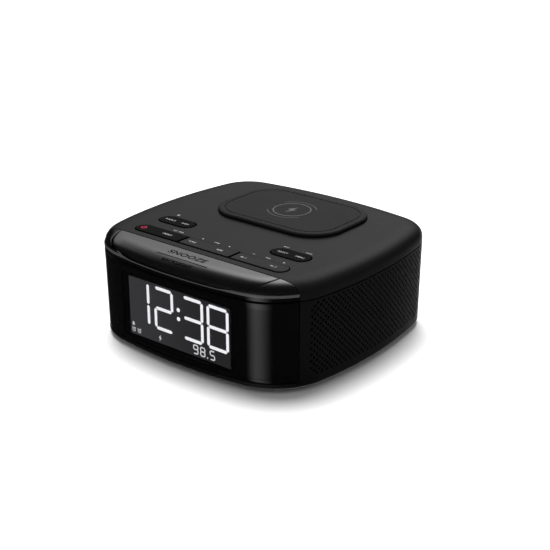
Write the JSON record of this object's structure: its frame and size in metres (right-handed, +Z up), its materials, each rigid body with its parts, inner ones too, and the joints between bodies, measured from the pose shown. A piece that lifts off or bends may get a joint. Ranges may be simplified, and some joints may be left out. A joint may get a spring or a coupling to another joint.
{
  "type": "clock radio",
  "caption": "Tabletop clock radio with a bowed gloss display front, perforated speaker sides, snooze bar, rocker keys and a wireless charging pad on top.",
  "frame": {"origin": "on the surface it stands on, under the middle of the body's outline", "axes": "+X towards the right-hand speaker seen from the front, -Y out of the display, +Z up"},
  "size_m": [0.17, 0.1624, 0.0683],
  "materials": {
    "cabinet_black": "fine-textured moulded black plastic, perforated at the sides",
    "soft_black": "soft-touch matt black plastic",
    "piano_black": "polished black",
    "satin_grey": "satin dark grey lacquer",
    "key_black": "matt black key plastic",
    "rubber": "black silicone rubber",
    "inner_black": "plain moulded black plastic",
    "lcd": "dark display cell",
    "light_guide": "white diffuser",
    "board": "green solder mask",
    "steel": "zinc-plated steel",
    "copper": "enamelled copper wire",
    "ferrite": "grey ferrite sheet",
    "aluminium": "plain extruded aluminium",
    "cone": "black paper cone with a rubber roll",
    "magnet": "coated magnet in a steel cup",
    "cloth": "black acoustic cloth",
    "wire": "red and black insulated wire",
    "ribbon": "flat film cable"
  },
  "bodies": {
    "case": {"cabinet": "cabinet_black", "base_plate": "inner_black", "top_cover": "soft_black", "front_lens": "piano_black", "front_frame": "inner_black", "front_top_trim": "piano_black", "key_board": "board", "charging_pad": "rubber", "coil_tray": "inner_black", "coil_ferrite": "ferrite", "charging_coil": "copper", "charging_board": "board", "display_panel": "lcd", "display_backlight": "light_guide", "display_board": "board", "main_board": "board", "tuner_shield": "steel", "amplifier_heatsink": "aluminium", "cell_holder": "inner_black", "clock_backup_cell": "steel", "dc_jack": "inner_black", "usb_port": "steel", "aerial_grommet": "rubber", "display_ribbon": "ribbon", "key_ribbon": "ribbon", "coil_lead": "wire", "speaker_frame_left": "steel", "speaker_cone_left": "cone", "speaker_magnet_left": "magnet", "grille_cloth_left": "cloth", "speaker_lead_left": "wire", "speaker_frame_right": "steel", "speaker_cone_right": "cone", "speaker_magnet_right": "magnet", "grille_cloth_right": "cloth", "speaker_lead_right": "wire", "foot_1": "rubber", "case_screw_1": "steel", "board_screw_1": "steel", "foot_2": "rubber", "case_screw_2": "steel", "board_screw_2": "steel", "foot_3": "rubber", "case_screw_3": "steel", "board_screw_3": "steel", "foot_4": "rubber", "case_screw_4": "steel", "board_screw_4": "steel", "display_screw_1": "steel", "tray_screw_1": "steel", "display_screw_2": "steel", "tray_screw_2": "steel"},
    "snooze": {"snooze_bar": "satin_grey"},
    "key_power_preset": {"key_power_preset": "key_black"},
    "key_tuning": {"key_tuning": "key_black"},
    "key_alarm": {"key_alarm": "key_black"},
    "key_source_sleep": {"key_source_sleep": "key_black"},
    "key_select_menu": {"key_select_menu": "key_black"}
  },
  "joints": [
    {"name": "snooze_press", "type": "slide", "parent": "case", "child": "snooze", "axis": [0, 0, -1], "range_m": [0, 0.0008], "stiffness_N_per_m": 1500, "springref_m": -0.0005},
    {"name": "key_power_preset_rock", "type": "hinge", "parent": "case", "child": "key_power_preset", "pos_m": [-0.03958, -0.04817, 0.0622], "axis": [0, 1, 0], "range_deg": [-2, 2], "stiffness_Nm_per_rad": 0.3},
    {"name": "key_tuning_rock", "type": "hinge", "parent": "case", "child": "key_tuning", "pos_m": [-0.0004, -0.04817, 0.0622], "axis": [0, 1, 0], "range_deg": [-2, 2], "stiffness_Nm_per_rad": 0.3},
    {"name": "key_alarm_rock", "type": "hinge", "parent": "case", "child": "key_alarm", "pos_m": [0.03917, -0.04817, 0.0622], "axis": [0, 1, 0], "range_deg": [-2, 2], "stiffness_Nm_per_rad": 0.3},
    {"name": "key_source_sleep_rock", "type": "hinge", "parent": "case", "child": "key_source_sleep", "pos_m": [-0.0447, -0.0276, 0.0622], "axis": [0, 1, 0], "range_deg": [-2, 2], "stiffness_Nm_per_rad": 0.3},
    {"name": "key_select_menu_rock", "type": "hinge", "parent": "case", "child": "key_select_menu", "pos_m": [0.0447, -0.0276, 0.0622], "axis": [0, 1, 0], "range_deg": [-2, 2], "stiffness_Nm_per_rad": 0.3}
  ]
}
